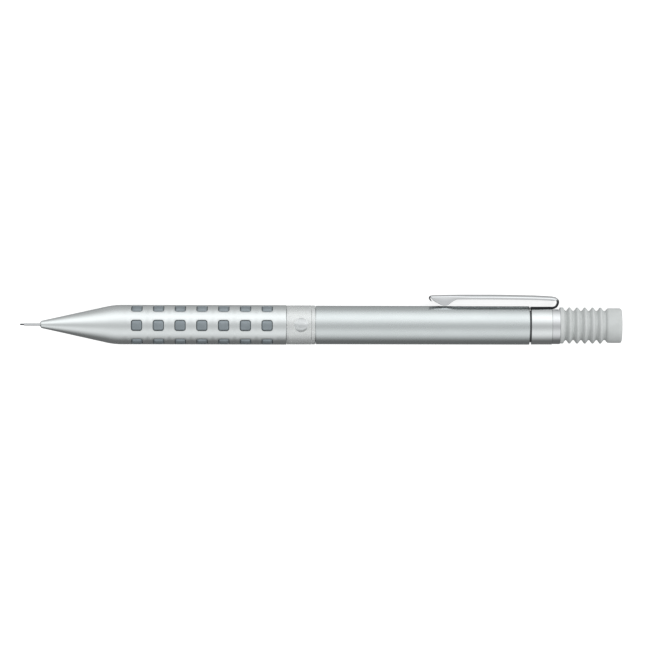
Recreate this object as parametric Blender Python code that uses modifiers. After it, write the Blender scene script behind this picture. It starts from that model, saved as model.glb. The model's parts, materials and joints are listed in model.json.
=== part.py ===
"""A drafting-type mechanical pencil, piece by piece, for Blender 4.5.

The pencil is drawn about its own axis and then laid down as it comes to rest on a table,
on its grip studs and the outer corner of its clip. In every list below a place is (s, r):
s is the distance in millimetres from the tip of the lead towards the push cover, and r the
distance from the pencil's axis. The frame empty's Z runs along the pencil towards the
cover, its X points to the clip, and turns about the axis count from X towards Y.
"""

import math

import bmesh
import bpy
import numpy as np
from mathutils import Matrix, Vector

MM = 0.001

# Driving dimensions, in millimetres and degrees
LENGTH = 139.0
LEAD_R = 0.185
LEAD_LENGTH = 60.0
SLEEVE_FRONT = 0.95
SLEEVE_R = 0.30
NOSE_FRONT = 4.62
CONE_FRONT = (4.95, 0.84)
GRIP_CORNER_S = 21.75
GRIP_R = 4.56
GRIP_BORE_R = 4.12
GRIP_REAR = 61.6

STUD_COLUMNS = 7
STUD_ROWS = 6
STUD_FIRST_S = 27.14
STUD_PITCH = 5.007
STUD_TURN = 92.3
STUD_LENGTH = 2.45
STUD_WIDTH = 2.42
STUD_CORNER = 0.55
STUD_R = 4.76
WINDOW_GAP = 0.05

RING_FRONT, RING_REAR, RING_R = 61.7, 67.3, 4.5
LENS_S, LENS_TURN = 65.0, 90.0
FLANGE_FRONT, FLANGE_REAR, FLANGE_R = 67.42, 68.15, 4.48
CORE_R, CORE_BORE_R, CORE_REAR = 3.94, 2.95, 78.0
BARREL_FRONT, BARREL_REAR, BARREL_R, BARREL_BORE_R = 68.4, 117.7, 4.45, 4.0
BUSH_FRONT, BUSH_REAR, BUSH_R, BUSH_BORE_R = 108.0, 124.7, 3.9, 2.8
REAR_RING_FRONT, REAR_RING_REAR, REAR_RING_R = 118.1, 122.88, 4.41
COLLAR_FRONT, COLLAR_REAR, COLLAR_R = 122.92, 124.7, 4.30
REAR_RINGS_BORE_R = 3.94
COVER_FRONT = 124.75
FOLD_FIRST_S, FOLD_PITCH, FOLDS = 126.95, 1.785, 5
FOLD_PEAK_R, FOLD_VALLEY_R = 4.2, 3.35
CAP_FRONT, CAP_R, CAP_CORNER = 135.9, 4.01, 0.5

CLIP_SHEET = 0.35
CLIP_ARCH = 0.66
CLIP_PIVOT = (124.0, 5.35)
CLIP_FOOT_R = 3.8
CLIP_SEAT_R = 3.42
CLIP_SEAT_HALF_WIDTH = 1.62

# Faces round a turned piece
ROUND = 32
SMALL_ROUND = 20
WIRE_ROUND = 12

MIDDLE_S = LENGTH / 2

# Colour, roughness and metallic value of each finish
FINISHES = {
    "satin_metal": ((0.60, 0.62, 0.62), 0.32, 1.0),
    "satin_aluminium": ((0.52, 0.54, 0.54), 0.34, 1.0),
    "bright_metal": ((0.66, 0.67, 0.68), 0.16, 1.0),
    "dark_chrome": ((0.42, 0.43, 0.45), 0.14, 1.0),
    "steel": ((0.55, 0.56, 0.57), 0.25, 1.0),
    "brass": ((0.60, 0.45, 0.19), 0.30, 1.0),
    "graphite": ((0.05, 0.05, 0.055), 0.45, 0.1),
    "dark_rubber": ((0.14, 0.16, 0.18), 0.70, 0.0),
    "grey_rubber": ((0.48, 0.50, 0.49), 0.60, 0.0),
    "eraser_rubber": ((0.85, 0.84, 0.80), 0.80, 0.0),
    "clear_grey": ((0.55, 0.57, 0.57), 0.12, 0.0),
    "white_plastic": ((0.80, 0.80, 0.79), 0.45, 0.0),
    "grey_plastic": ((0.30, 0.31, 0.32), 0.55, 0.0),
    "black_plastic": ((0.04, 0.04, 0.045), 0.50, 0.0),
}


def clear_scene():
    for obj in list(bpy.data.objects):
        bpy.data.objects.remove(obj, do_unlink=True)


def new_collection(name):
    collection = bpy.data.collections.new(name)
    bpy.context.scene.collection.children.link(collection)
    return collection


clear_scene()
PENCIL = new_collection("mechanical_pencil")
CUTTERS = new_collection("cutters")
FRAME = bpy.data.objects.new("pencil_frame", None)
PENCIL.objects.link(FRAME)


def finish_material(name, finish):
    colour, roughness, metallic = FINISHES[finish]
    material = bpy.data.materials.new(name)
    material.use_nodes = True
    shader = material.node_tree.nodes["Principled BSDF"]
    shader.inputs["Base Color"].default_value = (*colour, 1.0)
    shader.inputs["Roughness"].default_value = roughness
    shader.inputs["Metallic"].default_value = metallic
    material.diffuse_color = (*colour, 1.0)
    return material


def add_piece(name, data, finish, pivot=(MIDDLE_S, 0.0)):
    """A sub-part whose origin is at pivot, given as (s, r) on the clip's side of the axis."""
    piece = bpy.data.objects.new(name, data)
    data.materials.append(finish_material(name, finish))
    PENCIL.objects.link(piece)
    piece.parent = FRAME
    piece.location = point(*pivot)
    return piece


def add_cutter(name, mesh):
    cutter = bpy.data.objects.new(name, mesh)
    CUTTERS.objects.link(cutter)
    cutter.parent = FRAME
    cutter.hide_render = True
    cutter.display_type = "WIRE"
    return cutter


def point(s, r, turn=0.0):
    """The place (s, r), turned about the axis by turn degrees from the clip's side."""
    angle = math.radians(turn)
    return Vector((r * math.cos(angle), r * math.sin(angle), s - MIDDLE_S)) * MM


def eased(start, corner, end, count):
    """Points of a smooth curve from start to end that heads for corner, both ends left out."""
    steps = (k / (count + 1) for k in range(1, count + 1))
    return [
        tuple(
            (1 - t) ** 2 * a + 2 * t * (1 - t) * b + t**2 * c
            for a, b, c in zip(start, corner, end)
        )
        for t in steps
    ]


def profile_mesh(name, outer, bore):
    """The edges of a turned shape: down its outer side, then back up its bore."""
    chain = [*reversed(outer), *bore]
    closed = chain[0][1] > 0 and chain[-1][1] > 0
    edges = [(k, k + 1) for k in range(len(chain) - 1)]
    if closed:
        edges.append((len(chain) - 1, 0))
    mesh = bpy.data.meshes.new(name)
    mesh.from_pydata([point(s, r) for s, r in chain], edges, [])
    return mesh


def spin(obj, steps):
    screw = obj.modifiers.new("turned", "SCREW")
    screw.steps = screw.render_steps = steps
    screw.use_merge_vertices = True
    screw.merge_threshold = 1e-7
    screw.use_smooth_shade = True
    return obj


def turned(name, finish, outer, bore=(), steps=ROUND):
    """A turned sub-part: outer and bore run from front to rear, and meet the axis where solid."""
    return spin(add_piece(name, profile_mesh(name, outer, bore), finish), steps)


def boolean(piece, cutter, operation="DIFFERENCE"):
    modifier = piece.modifiers.new(operation.lower(), "BOOLEAN")
    modifier.object = cutter
    modifier.operation = operation
    modifier.solver = "EXACT"


def tube(front, rear, radius, chamfer=0.0):
    """The outer side of a straight tube, with its two end edges broken."""
    if not chamfer:
        return [(front, radius), (rear, radius)]
    return [
        (front, radius - chamfer),
        (front + chamfer, radius),
        (rear - chamfer, radius),
        (rear, radius - chamfer),
    ]


def rod(front, rear, radius, chamfer=0.0):
    return [(front, 0.0), *tube(front, rear, radius, chamfer), (rear, 0.0)]


def box_cutter(name, s_span, x_span, y_span):
    """A block that spans these millimetres along the pencil, towards the clip and across."""
    spans = (x_span, y_span, (s_span[0] - MIDDLE_S, s_span[1] - MIDDLE_S))
    mesh = bpy.data.meshes.new(name)
    bm = bmesh.new()
    bmesh.ops.create_cube(bm, size=1.0)
    size = Matrix.Diagonal([(high - low) * MM for low, high in spans]).to_4x4()
    middle = Matrix.Translation([(low + high) / 2 * MM for low, high in spans])
    bm.transform(middle @ size)
    bm.to_mesh(mesh)
    bm.free()
    return add_cutter(name, mesh)


# The metal grip with its windows, and the rubber that stands out through them


def rounded_rectangle(length, width, corner, per_corner=2):
    """Corners as arcs of per_corner points, going round once."""
    outline = []
    for quarter in range(4):
        side_s = 1 if quarter in (0, 3) else -1
        side_y = 1 if quarter in (0, 1) else -1
        centre = (side_s * (length / 2 - corner), side_y * (width / 2 - corner))
        for k in range(per_corner):
            angle = math.radians(90 * (quarter + k / (per_corner - 1)))
            outline.append(
                (
                    centre[0] + corner * math.cos(angle),
                    centre[1] + corner * math.sin(angle),
                )
            )
    return outline


def stud_prisms(name, extra, low_r, high_r):
    """A rounded square prism at each stud's place, extra wider all round."""
    outline = rounded_rectangle(
        STUD_LENGTH + 2 * extra, STUD_WIDTH + 2 * extra, STUD_CORNER + extra
    )
    bm = bmesh.new()
    for row in range(STUD_ROWS):
        turn = Matrix.Rotation(math.radians(STUD_TURN + 360 / STUD_ROWS * row), 4, "Z")
        for column in range(STUD_COLUMNS):
            middle = STUD_FIRST_S + STUD_PITCH * column
            base = bm.faces.new(
                bm.verts.new(turn @ (Vector((low_r, y, middle + s - MIDDLE_S)) * MM))
                for s, y in outline
            )
            grown = bmesh.ops.extrude_face_region(bm, geom=[base])["geom"]
            top = [v for v in grown if isinstance(v, bmesh.types.BMVert)]
            rise = turn @ (Vector((high_r - low_r, 0, 0)) * MM)
            bmesh.ops.translate(bm, verts=top, vec=rise)
    bmesh.ops.recalc_face_normals(bm, faces=bm.faces)
    mesh = bpy.data.meshes.new(name)
    bm.to_mesh(mesh)
    bm.free()
    return add_cutter(name, mesh)


def make_grip_shell():
    slope = (GRIP_R - CONE_FRONT[1]) / (GRIP_CORNER_S - CONE_FRONT[0])
    bend_front = GRIP_CORNER_S - 1.85
    bend_start = (bend_front, CONE_FRONT[1] + slope * (bend_front - CONE_FRONT[0]))
    bend_end = (GRIP_CORNER_S + 1.85, GRIP_R)
    outer = [
        (NOSE_FRONT, 0.42),
        (NOSE_FRONT + 0.12, 0.50),
        (NOSE_FRONT + 0.20, 0.70),
        CONE_FRONT,
        bend_start,
        *eased(bend_start, (GRIP_CORNER_S, GRIP_R), bend_end, 3),
        bend_end,
        (GRIP_REAR - 0.12, GRIP_R),
        (GRIP_REAR, GRIP_R - 0.08),
    ]
    bore = [
        (NOSE_FRONT, 0.33),
        (7.6, 0.33),
        (7.6, 1.05),
        (11.4, 1.05),
        (11.4, 1.6),
        (14.5, 1.6),
        (14.5, 1.85),
        (15.0, 1.85),
        (15.0, 2.5),
        (16.0, 2.75),
        (20.0, 3.45),
        (24.0, GRIP_BORE_R),
        (GRIP_REAR, GRIP_BORE_R),
    ]
    shell = turned("grip_shell", "satin_metal", outer, bore)
    boolean(shell, stud_prisms("window_cutter", WINDOW_GAP, 3.5, 5.4))


def make_grip_insert():
    front, rear, sleeve_r, bore_r = 24.3, 58.7, 4.05, 3.45
    sleeve = turned(
        "grip_insert", "dark_rubber", tube(front, rear, sleeve_r), tube(front, rear, bore_r)
    )
    # The studs are the prisms' parts inside a tube, so their tops are round about the axis.
    top_guide = profile_mesh(
        "stud_top_guide",
        tube(front - 0.3, rear + 1.3, STUD_R),
        tube(front - 0.3, rear + 1.3, bore_r + 0.25),
    )
    stud_tops = spin(add_cutter("stud_top_guide", top_guide), ROUND)
    studs = stud_prisms("stud_guide", 0.0, bore_r + 0.3, 5.4)
    boolean(studs, stud_tops, "INTERSECT")
    boolean(sleeve, studs, "UNION")


def make_nose_pieces():
    collar_front, collar_rear, collar_r = 7.65, 8.1, 0.95
    brake_front, brake_rear, brake_r = 8.2, 11.2, 1.0
    turned(
        "lead",
        "graphite",
        [
            (0.0, 0.0),
            (0.0, LEAD_R - 0.05),
            (0.08, LEAD_R),
            (LEAD_LENGTH, LEAD_R),
            (LEAD_LENGTH, 0.0),
        ],
        steps=WIRE_ROUND,
    )
    turned(
        "lead_sleeve",
        "steel",
        [
            (SLEEVE_FRONT, SLEEVE_R - 0.04),
            (SLEEVE_FRONT + 0.05, SLEEVE_R),
            (collar_front, SLEEVE_R),
            (collar_front, collar_r),
            (collar_rear, collar_r),
        ],
        tube(SLEEVE_FRONT, collar_rear, LEAD_R + 0.025),
        SMALL_ROUND,
    )
    turned(
        "lead_retainer",
        "black_plastic",
        tube(brake_front, brake_rear, brake_r, 0.1),
        tube(brake_front, brake_rear, LEAD_R + 0.02),
        SMALL_ROUND,
    )


# The feed mechanism


def make_chuck():
    head_front, head_rear, stem_rear = 15.0, 17.4, 30.0
    slot_front, slot_rear, slot_length, slot_gap = 14.0, 26.0, 1.58, 0.12
    chuck = turned(
        "chuck",
        "brass",
        [
            (head_front, 1.05),
            (head_front + 0.15, 1.30),
            (head_front + 0.33, 1.30),
            (head_front + 0.42, 1.20),
            (head_rear, 0.98),
            (head_rear + 0.2, 0.85),
            (stem_rear, 0.85),
        ],
        [(head_front, LEAD_R + 0.02), (19.0, LEAD_R + 0.02), (19.0, 0.35), (stem_rear, 0.35)],
        SMALL_ROUND,
    )
    slots = bmesh.new()
    for k in range(3):
        made = bmesh.ops.create_cube(slots, size=1.0)["verts"]
        turn = Matrix.Rotation(math.radians(120 * k + 7.5), 4, "Z")
        height = (slot_front + slot_rear) / 2 - MIDDLE_S
        middle = Matrix.Translation(Vector((slot_length / 2 + 0.01, 0, height)) * MM)
        size = Vector((slot_length, slot_gap, slot_rear - slot_front)) * MM
        place = turn @ middle @ Matrix.Diagonal(size).to_4x4()
        bmesh.ops.transform(slots, matrix=place, verts=made)
    mesh = bpy.data.meshes.new("jaw_slot_cutter")
    slots.to_mesh(mesh)
    slots.free()
    boolean(chuck, add_cutter("jaw_slot_cutter", mesh))


def make_clutch():
    ring_front, ring_rear, ring_r, ring_bore_r = 15.42, 17.6, 1.68, 1.26
    turned(
        "clutch_ring",
        "brass",
        tube(ring_front, ring_rear, ring_r, 0.1),
        tube(ring_front, ring_rear, ring_bore_r),
        SMALL_ROUND,
    )
    turned(
        "clutch_sleeve",
        "brass",
        [(15.2, 2.2), (15.4, 2.4), (20.4, 2.4), (20.4, 2.05), (23.0, 2.05)],
        [(15.2, 1.75), (20.0, 1.75), (20.0, 1.25), (21.2, 1.25), (21.2, 1.7), (23.0, 1.7)],
        SMALL_ROUND,
    )


def make_return_spring():
    front, rear, mean_r, wire_r = 21.4, 28.4, 1.45, 0.16
    turns, per_turn = 7, 8
    curve = bpy.data.curves.new("return_spring", "CURVE")
    curve.dimensions = "3D"
    curve.bevel_depth = wire_r * MM
    curve.bevel_resolution = 2
    curve.use_fill_caps = True
    spline = curve.splines.new("POLY")
    count = turns * per_turn + 1
    spline.points.add(count - 1)
    for k in range(count):
        s = front + wire_r + (rear - front - 2 * wire_r) * k / (count - 1)
        spline.points[k].co = (*point(s, mean_r, 360 / per_turn * k), 1.0)
    piece = add_piece("return_spring", curve, "steel")
    piece.location = (0, 0, 0)


def make_push_train():
    tube_front, tube_rear, tube_r, tube_bore_r = 29.7, 131.0, 1.75, 1.2
    cup_front, cup_rear, cup_r, cup_bore_r = 129.5, 135.2, 2.0, 1.72
    turned(
        "chuck_adapter",
        "brass",
        [(28.6, 1.75), (29.6, 1.75), (29.6, 1.17), (33.0, 1.17)],
        [(28.6, 0.88), (30.1, 0.88), (30.1, 0.5), (33.0, 0.5)],
        SMALL_ROUND,
    )
    turned(
        "lead_tube",
        "grey_plastic",
        tube(tube_front, tube_rear, tube_r),
        tube(tube_front, tube_rear, tube_bore_r),
        SMALL_ROUND,
    )
    turned(
        "eraser_holder",
        "white_plastic",
        tube(cup_front, cup_rear, cup_r, 0.1),
        [(cup_front, 1.8), (131.1, 1.8), (131.1, cup_bore_r), (cup_rear, cup_bore_r)],
        SMALL_ROUND,
    )
    turned("eraser", "eraser_rubber", rod(131.6, 137.3, 1.7, 0.15), steps=SMALL_ROUND)


# The coupling between the grip and the barrel


def make_coupling():
    housing_front, housing_rear, housing_r, housing_bore_r = 20.5, 61.2, 2.9, 2.1
    turned(
        "mechanism_housing",
        "grey_plastic",
        tube(housing_front, housing_rear, housing_r, 0.2),
        tube(housing_front, housing_rear, housing_bore_r),
        SMALL_ROUND,
    )
    thread_front, thread_pitch, ridges = 59.2, 1.0, 2
    root_r, ridge_r = 3.7, 4.0
    outer = [(thread_front - 0.2, root_r)]
    for k in range(ridges):
        ridge = thread_front + thread_pitch * k
        outer += [(ridge + 0.12, ridge_r), (ridge + 0.3, ridge_r), (ridge + 0.45, root_r)]
    outer += [
        (61.45, root_r),
        (61.45, 3.3),
        (FLANGE_FRONT, 3.3),
        (FLANGE_FRONT, FLANGE_R - 0.05),
        (FLANGE_FRONT + 0.05, FLANGE_R),
        (FLANGE_REAR - 0.05, FLANGE_R),
        (FLANGE_REAR, FLANGE_R - 0.05),
        (FLANGE_REAR, CORE_R),
        (CORE_REAR, CORE_R),
    ]
    turned("joint_core", "bright_metal", outer, tube(outer[0][0], CORE_REAR, CORE_BORE_R))
    turned("grade_sleeve", "white_plastic", tube(61.9, 67.2, 3.6), tube(61.9, 67.2, 3.34))


def make_window_ring():
    ring = turned(
        "window_ring",
        "clear_grey",
        tube(RING_FRONT, RING_REAR, RING_R, 0.12),
        tube(RING_FRONT, RING_REAR, 3.68),
    )
    # The lens is turned about an axis that stands on the ring, and keeps a narrow moat.
    dome_r, moat_r, rim_r = 1.6, 1.8, 2.2
    base, face, crest = 3.9, 4.62, 5.05
    top = [(4.46, moat_r), (4.50, dome_r), *eased((4.50, dome_r), (crest, 1.5), (crest, 0), 4)]
    heights = [(base, 0.0), (base, rim_r), (4.42, rim_r), (face, 2.05), (face, 1.95), *top]
    mesh = bpy.data.meshes.new("lens_boss")
    chain = [*reversed([*heights, (crest, 0.0)])]
    mesh.from_pydata(
        [Vector((away, 0, height)) * MM for height, away in chain],
        [(k, k + 1) for k in range(len(chain) - 1)],
        [],
    )
    boss = spin(add_cutter("lens_boss", mesh), SMALL_ROUND)
    boss.rotation_euler = (math.radians(-LENS_TURN), 0, 0)
    boss.location = point(LENS_S, 0)
    boolean(ring, boss, "UNION")


# The barrel and the rings behind it


def make_barrel():
    turned(
        "barrel",
        "satin_aluminium",
        tube(BARREL_FRONT, BARREL_REAR, BARREL_R, 0.15),
        tube(BARREL_FRONT, BARREL_REAR, BARREL_BORE_R),
    )
    bush = turned(
        "rear_bush",
        "black_plastic",
        tube(BUSH_FRONT, BUSH_REAR, BUSH_R),
        tube(BUSH_FRONT, BUSH_REAR, BUSH_BORE_R),
    )
    ring = turned(
        "rear_ring",
        "bright_metal",
        tube(REAR_RING_FRONT, REAR_RING_REAR, REAR_RING_R, 0.1),
        tube(REAR_RING_FRONT, REAR_RING_REAR, REAR_RINGS_BORE_R),
    )
    collar = turned(
        "end_collar",
        "dark_chrome",
        tube(COLLAR_FRONT, COLLAR_REAR, COLLAR_R, 0.05),
        tube(COLLAR_FRONT, COLLAR_REAR, REAR_RINGS_BORE_R),
    )
    # The clip's foot lies on a flat of the bush, in a slot through both rings.
    span = (BARREL_REAR, COLLAR_REAR + 1.0)
    flat = box_cutter("clip_flat_cutter", span, (CLIP_SEAT_R, 5.0), (-BUSH_R, BUSH_R))
    boolean(bush, flat)
    sides = (-CLIP_SEAT_HALF_WIDTH, CLIP_SEAT_HALF_WIDTH)
    slot = box_cutter("clip_slot_cutter", span, (0.0, 5.0), sides)
    boolean(ring, slot)
    boolean(collar, slot)


# The spring clip: a channel of bent sheet


def clip_path():
    """Places along the outer face, from the tip over the blade and round the bend to the foot.

    Each is (s, r, half the strip's width, depth of its side flanges).
    """
    blade = [
        (94.6, 6.60, 1.25, 0.42),
        (94.9, 6.86, 1.43, 0.70),
        (96.6, 6.97, 1.60, 1.92),
        (97.4, 6.99, 1.65, 2.34),
        (98.3, 7.01, 1.70, 2.50),
        (99.0, 7.03, 1.73, 2.32),
        (100.4, 7.05, 1.79, 1.32),
        (102.0, 7.07, 1.85, 1.12),
        (111.0, 7.07, 1.85, 1.12),
        (117.9, 6.95, 1.80, 1.06),
        (121.0, 6.83, 1.68, 1.02),
        (122.9, 6.68, 1.58, 0.98),
    ]
    flat = CLIP_SHEET + 0.03
    width = 1.52
    bend_top, bend_rear, bend_low = (123.8, 6.42), (124.6, 5.45), (122.9, CLIP_FOOT_R)
    corners = [
        bend_top,
        *eased(bend_top, (124.55, 6.15), bend_rear, 3),
        bend_rear,
        *eased(bend_rear, (124.65, CLIP_FOOT_R + 0.3), bend_low, 3),
        bend_low,
        (118.65, CLIP_FOOT_R),
        (118.28, CLIP_FOOT_R - 0.03),
        (118.13, CLIP_FOOT_R - 0.14),
        (118.11, CLIP_FOOT_R - 0.26),
    ]
    hook_width = 1.1
    path = [(s, r, width, flat) for s, r in corners[:-2]]
    path += [(s, r, hook_width, flat) for s, r in corners[-2:]]
    return blade + path


def clip_section(place, inward, half_width, depth):
    """The arched channel's outline at one place, its points away from the pivot, in metres."""
    inner = half_width - CLIP_SHEET
    rise = min(CLIP_ARCH, depth - CLIP_SHEET - 0.02)
    half = [(half_width, depth)]
    for degrees in (0, 25, 50, 75):
        angle = math.radians(degrees)
        half.append((half_width * math.cos(angle), rise * (1 - math.sin(angle))))
    half_inside = [(inner, depth), (inner, CLIP_SHEET + rise), (0.62 * inner, CLIP_SHEET)]
    outline = [
        *half,
        *((-y, d) for y, d in reversed(half)),
        *((-y, d) for y, d in half_inside),
        *reversed(half_inside),
    ]
    points = []
    for y, d in outline:
        s, r = place[0] + inward[0] * d, place[1] + inward[1] * d
        points.append(Vector((r - CLIP_PIVOT[1], y, s - CLIP_PIVOT[0])) * MM)
    return points


def make_clip():
    path = clip_path()
    places = np.array([step[:2] for step in path])
    along = np.gradient(places, axis=0)
    along /= np.linalg.norm(along, axis=1)[:, None]
    bm = bmesh.new()
    rings = []
    for place, direction, (_, _, half_width, depth) in zip(places, along, path):
        inward = (direction[1], -direction[0])
        section = clip_section(place, inward, half_width, depth)
        rings.append([bm.verts.new(p) for p in section])
    for ring, following in zip(rings, rings[1:]):
        for k in range(len(ring)):
            nearby = (k + 1) % len(ring)
            bm.faces.new((ring[k], ring[nearby], following[nearby], following[k]))
    bm.faces.new(rings[0])
    bm.faces.new(rings[-1])
    bmesh.ops.recalc_face_normals(bm, faces=bm.faces)
    mesh = bpy.data.meshes.new("clip")
    bm.to_mesh(mesh)
    bm.free()
    mesh.shade_smooth()
    mesh.set_sharp_from_angle(angle=math.radians(35))
    add_piece("clip", mesh, "bright_metal", CLIP_PIVOT)


# The push cover


def make_push_cover():
    ring_front, ring_rear, plug_r, ring_r = 122.5, 125.5, 2.75, 3.25
    turned(
        "cover_ring",
        "white_plastic",
        [
            (ring_front, plug_r - 0.1),
            (ring_front + 0.1, plug_r),
            (COVER_FRONT, plug_r),
            (COVER_FRONT, ring_r),
            (ring_rear, ring_r),
        ],
        tube(ring_front, ring_rear, 2.3),
        SMALL_ROUND,
    )
    wall, flange_r, cap_bore_r, cap_inside = 0.5, 4.15, 3.4, 138.25
    outer = [(COVER_FRONT, 4.0), (124.95, flange_r), (ring_rear, flange_r), (125.65, 3.95)]
    bore = [(COVER_FRONT, 3.3), (125.58, 3.3), (125.58, FOLD_VALLEY_R - wall)]
    for k in range(FOLDS):
        peak = FOLD_FIRST_S + FOLD_PITCH * k
        valley = peak - FOLD_PITCH / 2
        outer += [
            (valley - 0.12, FOLD_VALLEY_R),
            (valley + 0.12, FOLD_VALLEY_R),
            (peak - 0.22, FOLD_PEAK_R - 0.06),
            (peak, FOLD_PEAK_R),
            (peak + 0.22, FOLD_PEAK_R - 0.06),
        ]
        bore += [(valley, FOLD_VALLEY_R - wall), (peak, FOLD_PEAK_R - wall)]
    last_valley = FOLD_FIRST_S + FOLD_PITCH * (FOLDS - 0.5)
    outer += [
        (last_valley - 0.12, FOLD_VALLEY_R),
        (last_valley + 0.25, FOLD_VALLEY_R),
        (CAP_FRONT - 0.2, CAP_R - 0.2),
        (CAP_FRONT, CAP_R),
        (LENGTH - CAP_CORNER, CAP_R),
        *eased((LENGTH - CAP_CORNER, CAP_R), (LENGTH, CAP_R), (LENGTH, CAP_R - CAP_CORNER), 2),
        (LENGTH, CAP_R - CAP_CORNER),
        (LENGTH, 0.0),
    ]
    bore += [
        (last_valley, FOLD_VALLEY_R - wall),
        (CAP_FRONT, FOLD_VALLEY_R - wall),
        (CAP_FRONT, cap_bore_r),
        (cap_inside, cap_bore_r),
        (cap_inside, 0.0),
    ]
    turned("bellows", "grey_rubber", outer, bore)
    turned(
        "knob_core",
        "white_plastic",
        [(129.3, 2.7), (135.97, 2.7), (135.97, 3.35), (138.2, 3.35), (138.2, 0.0)],
        [(129.3, 2.05), (135.25, 2.05), (135.25, 1.85), (137.6, 1.85), (137.6, 0.0)],
        SMALL_ROUND,
    )


# Laying the pencil down


def piece_points(name):
    """The evaluated corners of a sub-part, in the pencil's own frame, in metres."""
    piece = bpy.data.objects[name].evaluated_get(bpy.context.evaluated_depsgraph_get())
    mesh = piece.to_mesh()
    place = np.array(FRAME.matrix_world.inverted() @ piece.matrix_world)
    corners = np.array([v.co for v in mesh.vertices])
    piece.to_mesh_clear()
    return corners @ place[:3, :3].T + place[:3, 3]


def lying_matrix(roll):
    """The pencil along X, its clip towards +Y and turned down below level by roll."""
    clip_way = Vector((0, math.cos(roll), -math.sin(roll)))
    upper_way = Vector((0, math.sin(roll), math.cos(roll)))
    return Matrix((clip_way, upper_way, Vector((1, 0, 0)))).transposed().to_4x4()


def resting_roll(studs, clip):
    """The roll at which the studs and the clip's corner touch the table together."""

    def lowest(points, roll):
        return (points[:, 1] * math.cos(roll) - points[:, 0] * math.sin(roll)).min()

    low, high = math.radians(10), math.radians(50)
    for _ in range(40):
        middle = (low + high) / 2
        if lowest(clip, middle) > lowest(studs, middle):
            low = middle
        else:
            high = middle
    return middle


def lay_down():
    studs, clip = piece_points("grip_insert"), piece_points("clip")
    place = lying_matrix(resting_roll(studs, clip))
    both = np.vstack([studs, clip]) @ np.array(place)[:3, :3].T
    low, high = both.min(axis=0), both.max(axis=0)
    FRAME.matrix_world = Matrix.Translation((0, -(low[1] + high[1]) / 2, -low[2])) @ place
    bpy.context.view_layer.update()


make_grip_shell()
make_grip_insert()
make_nose_pieces()
make_chuck()
make_clutch()
make_return_spring()
make_push_train()
make_coupling()
make_window_ring()
make_barrel()
make_clip()
make_push_cover()
bpy.context.view_layer.update()
lay_down()
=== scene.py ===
"""The looks of the mechanical pencil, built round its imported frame, for Blender 4.5.

Shapes are drawn in millimetres about the pencil's own axis, as in the part: a place is
(s, r), s from the tip of the lead towards the push cover and r from the axis. Local X points
to the clip, local Y to the side that shows, and local Z along the pencil. Turns about the
axis count from X towards Y, in degrees.
"""

import json
import math

import bmesh
import bpy
import numpy as np
from mathutils import Matrix, Vector


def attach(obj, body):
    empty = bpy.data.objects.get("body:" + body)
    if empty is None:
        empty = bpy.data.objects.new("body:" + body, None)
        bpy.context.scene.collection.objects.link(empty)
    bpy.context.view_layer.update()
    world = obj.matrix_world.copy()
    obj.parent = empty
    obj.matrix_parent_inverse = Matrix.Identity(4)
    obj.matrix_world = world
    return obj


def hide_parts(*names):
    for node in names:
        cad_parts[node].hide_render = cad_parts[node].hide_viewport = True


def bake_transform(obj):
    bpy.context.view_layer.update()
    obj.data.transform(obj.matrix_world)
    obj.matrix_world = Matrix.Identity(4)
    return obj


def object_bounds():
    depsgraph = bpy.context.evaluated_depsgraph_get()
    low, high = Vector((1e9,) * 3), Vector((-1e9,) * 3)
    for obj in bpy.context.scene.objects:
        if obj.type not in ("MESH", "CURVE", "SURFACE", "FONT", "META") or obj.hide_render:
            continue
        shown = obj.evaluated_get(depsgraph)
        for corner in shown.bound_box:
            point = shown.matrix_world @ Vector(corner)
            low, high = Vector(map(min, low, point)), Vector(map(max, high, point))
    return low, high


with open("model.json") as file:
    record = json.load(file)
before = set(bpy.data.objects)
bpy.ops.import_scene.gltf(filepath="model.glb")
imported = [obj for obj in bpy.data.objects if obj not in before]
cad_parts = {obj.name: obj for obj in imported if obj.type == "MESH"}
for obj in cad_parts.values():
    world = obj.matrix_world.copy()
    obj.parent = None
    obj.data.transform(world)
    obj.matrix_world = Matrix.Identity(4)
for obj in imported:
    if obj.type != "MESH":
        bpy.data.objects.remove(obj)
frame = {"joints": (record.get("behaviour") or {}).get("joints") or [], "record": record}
CAD_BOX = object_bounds()

MM = 0.001


def joint(name):
    return next(j for j in frame["joints"] if j["name"] == name)


ALONG = Vector(joint("cover_pull")["axis"])
SIDE_WAY = -Vector(joint("clip_flex")["axis"]).normalized()
CLIP_WAY = SIDE_WAY.cross(ALONG)
AXIS_POINT = Vector(joint("window_turn")["pos_m"])
TIP = Vector((CAD_BOX[0][0], AXIS_POINT.y, AXIS_POINT.z))
LAY = Matrix.Translation(TIP) @ Matrix((CLIP_WAY, SIDE_WAY, ALONG)).transposed().to_4x4()
MM_TO_ROW = LAY @ Matrix.Diagonal((MM, MM, MM, 1))

BODY_OF = {n: b for b, ns in frame["record"]["behaviour"]["bodies"].items() for n in ns}

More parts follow.
